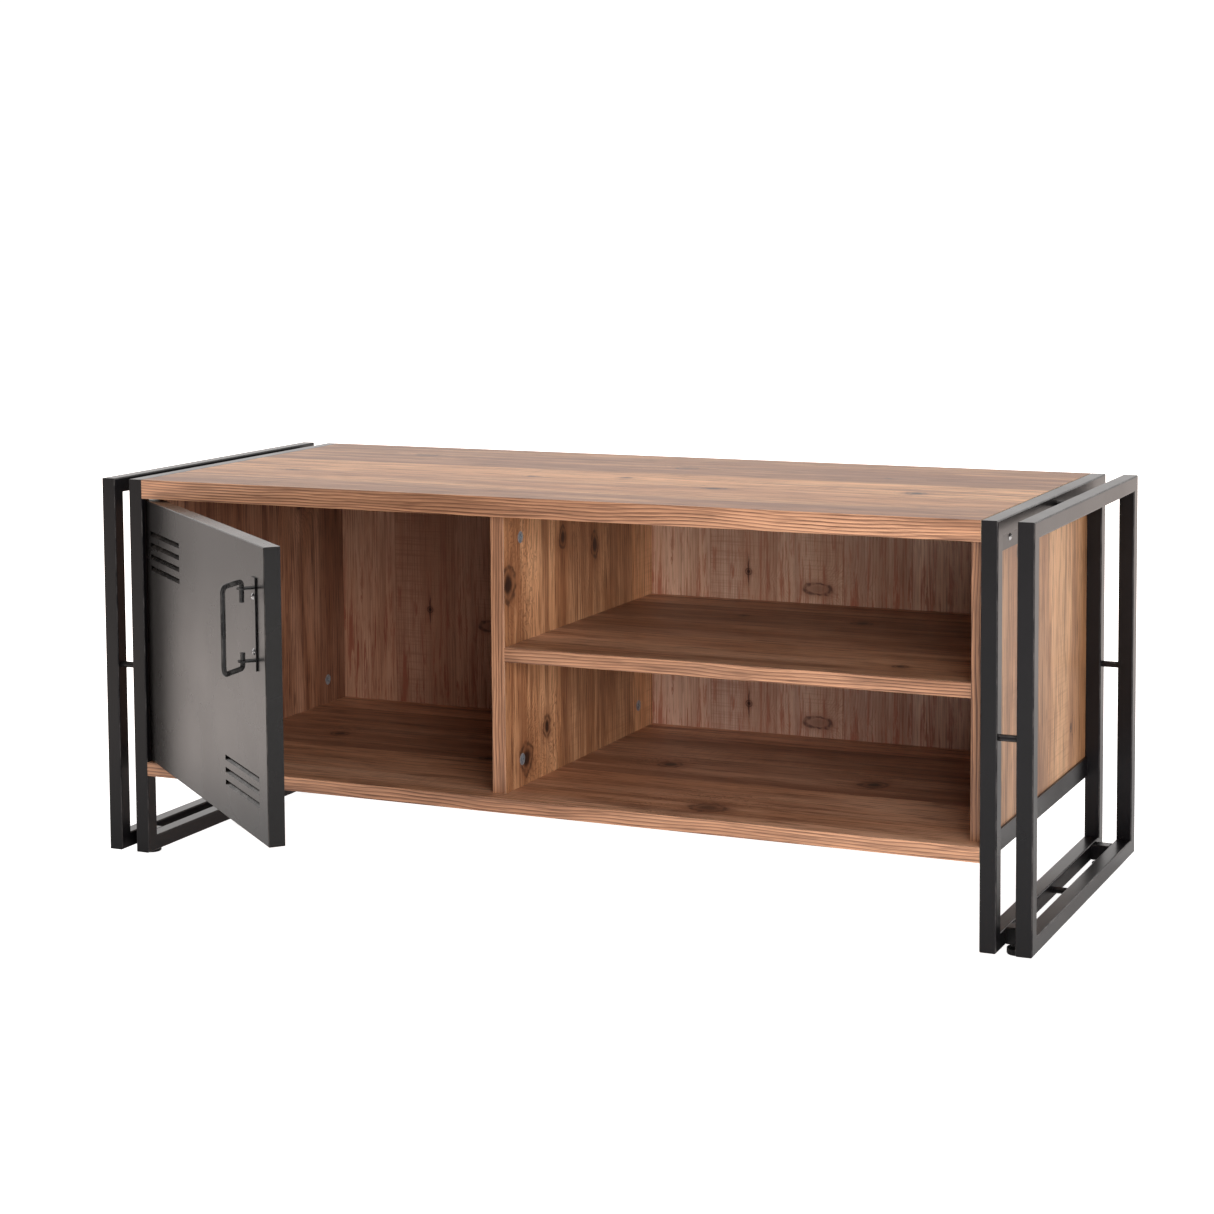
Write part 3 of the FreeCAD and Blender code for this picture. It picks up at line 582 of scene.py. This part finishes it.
# %% The door coat
door_joint = next(joint for joint in frame["joints"] if joint["name"] == "door_swing")
ajar = -math.radians(door_joint["range_deg"][0])
anthracite = coat_finish("door_coat", srgb(14, 12, 12), srgb(19, 17, 16), srgb(96, 90, 86), 0.27,
                         turn=ajar, peel=0.0011, bump=0.06)
coat_nodes(anthracite, ["door_shell", "door_back_plate"])
lacquer = coat_finish("handle_lacquer", srgb(9, 9, 10), srgb(13, 12, 13), srgb(90, 88, 86), 0.28,
                      turn=ajar, peel=0.0007, bump=0.05, shine=0.3)
coat_nodes(lacquer, ["handle_plate", "handle_bail"])

# %% [markdown]
# ## Bright metal
#
# Screws are chromed, cams are cast zinc and the hidden pins are zinc plated. All three are metals, so
# they have no colour but their reflection's tint, and what tells them apart is how rough and how mottled
# they are. Casting leaves a grainy skin, and plating leaves faint cloudy blooms.

# %% The metal finish
def metal_finish(name, base, bloom, rough, grain, bump, metal=1.0):
    material, net, shader = new_finish(name)
    place = net.node("ShaderNodeTexCoord").outputs["Object"]
    cloud = net.noise(place, 160.0, 3.0, 0.6)
    speck = net.noise(place, 1.0 / grain, 2.0, 0.5)
    net.put(net.mix(net.step(cloud, 0.35, 0.65), base, bloom), shader.inputs["Base Color"])
    shader.inputs["Metallic"].default_value = metal
    net.put(net.math("MULTIPLY_ADD", speck, 0.2, rough - 0.1), shader.inputs["Roughness"])
    net.put(net.bump(speck, bump, 0.0002), shader.inputs["Normal"])
    return material


chrome = metal_finish("bright_screw", srgb(214, 213, 212), srgb(190, 190, 192), 0.2, 0.0009, 0.05)
zinc_cast = metal_finish("cast_zinc", srgb(158, 164, 170), srgb(126, 132, 140), 0.45, 0.0006, 0.3,
                         metal=0.4)
zinc_plate = metal_finish("zinc_plate", srgb(186, 188, 192), srgb(160, 164, 172), 0.32, 0.0009, 0.1)
coat_nodes(chrome, ["frame_screws", "handle_screws"])
coat_nodes(zinc_cast, ["cam_housings"])
stems = [name for name in frame["nodes"] if name.endswith("_foot_stem")]
coat_nodes(zinc_plate, ["cam_bolts", "door_hinge_pins", *stems])

# %% [markdown]
# ## Plastics and dowels
#
# The feet, the hinge bushes and the catch are moulded. Moulded plastic is dull where the tool was
# spark-eroded, so it gets a fine even grain in both roughness and height. The dowels are beech, whose
# short dark flecks are its mark.

# %% Moulded and turned finishes
def moulded_finish(name, base, scuffed, rough, grain=0.0005):
    material, net, shader = new_finish(name)
    place = net.node("ShaderNodeTexCoord").outputs["Object"]
    texture = net.noise(place, 1.0 / grain, 2.0, 0.6)
    scuff = net.step(net.noise(place, 70.0, 4.0, 0.7), 0.5, 0.75)
    net.put(net.mix(net.math("MULTIPLY", scuff, 0.5), base, scuffed), shader.inputs["Base Color"])
    net.put(net.math("MULTIPLY_ADD", texture, 0.15, rough), shader.inputs["Roughness"])
    net.put(net.bump(texture, 0.25, 0.0002), shader.inputs["Normal"])
    return material


pads = [name for name in frame["nodes"] if name.endswith("_foot_pad")]
coat_nodes(moulded_finish("foot_plastic", srgb(24, 24, 25), srgb(60, 58, 56), 0.5), pads)
coat_nodes(moulded_finish("bush_nylon", srgb(222, 220, 212), srgb(200, 196, 186), 0.4), ["hinge_bushes"])
coat_nodes(moulded_finish("catch_plastic", srgb(206, 200, 190), srgb(180, 172, 160), 0.4),
           ["magnetic_catch"])
BEECH = {"pale": srgb(216, 178, 134), "warm": srgb(200, 158, 112), "brown": srgb(176, 130, 90),
         "line": srgb(150, 104, 70), "core": srgb(90, 60, 40), "red": srgb(170, 110, 76)}
coat_nodes(board_finish("beech", Z, X, 21.0, colours=BEECH, spacing=0.0015, chipboard=False), ["dowels"])

# %% [markdown]
# ## The floor
#
# The room is a white studio. Its pale floor has to look plain and white, and also give the door and the
# tubes something to mirror at a low angle, because dark metal shows little but its reflections. So the
# floor glows a little: evenly where the camera sees it, and in a warm tone towards the left and the
# rear, where only the metal sees it. From below it is clear, so that the underside can be looked at.

# %% The floor
half_floor = 30.0
corners = [(-half_floor, -half_floor, 0), (half_floor, -half_floor, 0),
           (half_floor, half_floor, 0), (-half_floor, half_floor, 0)]
floor_mesh = bpy.data.meshes.new("studio_floor")
floor_mesh.from_pydata(corners, [], [(0, 1, 2, 3)])
floor = bpy.data.objects.new("studio_floor", floor_mesh)
bpy.context.scene.collection.objects.link(floor)

material, net, shader = new_finish("pale_floor")
spot = net.node("ShaderNodeTexCoord").outputs["Object"]
cloud = net.step(net.noise(spot, 3.0, 2.0), 0.3, 0.7)
net.put(net.mix(cloud, srgb(244, 244, 244), srgb(248, 248, 248)), shader.inputs["Base Color"])
shader.inputs["Roughness"].default_value = 0.9
shader.inputs["Specular IOR Level"].default_value = 0.0
shader.inputs["Emission Strength"].default_value = 1.0

seen_glow, mirrored_glow, least_glow = 0.85, 0.85, 0.05
warm_shares = (1.03, 0.86, 0.77)
seen = net.node("ShaderNodeLightPath").outputs["Is Camera Ray"]
rightwards, rearwards, _ = net.split(spot)
left_band = net.math("MULTIPLY", net.step(rightwards, -0.7, -1.3),
                     net.step(rightwards, -3.4, -1.7, 0.3, 1.0))
band = net.math("MAXIMUM", left_band, net.step(rearwards, 0.7, 2.2))
mirrored = net.math("MULTIPLY_ADD", band, mirrored_glow, least_glow)
glow = [net.math("MULTIPLY_ADD", seen, seen_glow, net.math("MULTIPLY", mirrored, share))
        for share in warm_shares]
net.put(net.join(*glow), shader.inputs["Emission Color"])
from_below = net.node("ShaderNodeNewGeometry").outputs["Backfacing"]
net.put(net.math("SUBTRACT", 1.0, from_below), shader.inputs["Alpha"])
floor_mesh.materials.append(material)
print("floor:", 2 * half_floor, "m square")

# %% [markdown]
# ## The surround
#
# A white tent surrounds the piece. It is dimmer from the front, where the camera and its dark corner
# stand, brighter from the left, and dimmer from straight above, so that the top keeps its colour. The
# camera itself sees plain white in every direction.

# %% The surround
world = bpy.data.worlds.new("studio_surround")
bpy.context.scene.world = world
world.use_nodes = True
world.node_tree.nodes.clear()
net = Net(world.node_tree)
direction = net.split(net.node("ShaderNodeTexCoord").outputs["Generated"])
from_front = net.step(direction[Y], -0.8, 0.7, 0.16, 1.25)
from_right = net.step(direction[X], -1.0, 0.6, 1.35, 0.8)
from_above = net.step(direction[Z], 0.1, 0.9, 1.0, 0.6)
light = net.math("MULTIPLY", net.math("MULTIPLY", from_front, from_right), from_above)
tent_shares, seen_white = (1.02, 0.985, 0.965), (1.2, 1.2, 1.2, 1.0)
tinted = net.node("ShaderNodeCombineColor")
for channel, share in zip(("Red", "Green", "Blue"), tent_shares):
    net.put(net.math("MULTIPLY", light, share), tinted.inputs[channel])
seen = net.node("ShaderNodeLightPath").outputs["Is Camera Ray"]
background, output = net.node("ShaderNodeBackground"), net.node("ShaderNodeOutputWorld")
net.put(net.mix(seen, tinted.outputs[0], seen_white), background.inputs["Color"])
background.inputs["Strength"].default_value = 0.9
world.node_tree.links.new(background.outputs[0], output.inputs[0])
print("surround:", len(world.node_tree.nodes), "nodes")

# %% [markdown]
# ## The soft lights
#
# Two large soft lights shape the piece: a key from the front right, which leaves the bays in soft shade,
# and a weaker one overhead for the top. Both are hidden from reflections, because a large bright panel
# mirrored in the low-angle sheen of the top or the door would wash their colour out.

# %% The soft lights
def soft_light(name, place, target, size, watts):
    lamp = bpy.data.lights.new(name, "AREA")
    lamp.shape, lamp.size, lamp.size_y, lamp.energy = "RECTANGLE", *size, watts
    holder = bpy.data.objects.new(name, lamp)
    holder.location = place
    holder.rotation_mode = "QUATERNION"
    holder.rotation_quaternion = (Vector(target) - Vector(place)).to_track_quat("-Z", "Y")
    holder.visible_glossy = False
    bpy.context.scene.collection.objects.link(holder)
    print(name, watts, "W")


soft_light("key_softbox", (2.05, -2.45, 1.05), (0.0, 0.0, 0.25), (1.8, 1.6), 95.0)
soft_light("overhead_softbox", (0.0, 0.3, 3.0), (0.0, 0.2, 0.5), (2.4, 1.4), 27.0)

# %% [markdown]
# ## The camera
#
# Furniture is usually taken from a little above its top, turned so that the front and one end both show.
# The camera is held almost level and the lens is shifted down instead of tilted, which keeps the posts
# upright. The Standard view transform keeps the white surround white.

# %% The camera
camera_data = bpy.data.cameras.new("camera")
camera_data.lens, camera_data.sensor_width = 76.5, 36.0
camera_data.shift_x, camera_data.shift_y = 0.0124, -0.172
camera = bpy.data.objects.new("camera", camera_data)
camera.location = (1.3662, -2.8668, 0.8818)
camera.rotation_mode = "QUATERNION"
aim, roll = Vector((-0.41596, 0.90574, -0.08132)), -0.0075
camera.rotation_quaternion = aim.to_track_quat("-Z", "Y") @ Quaternion((0, 0, 1), roll)
bpy.context.scene.collection.objects.link(camera)
bpy.context.scene.camera = camera
bpy.context.scene.view_settings.view_transform = "Standard"
print("camera stands", round(camera.location.length, 2), "m from the middle of the floor under the piece")
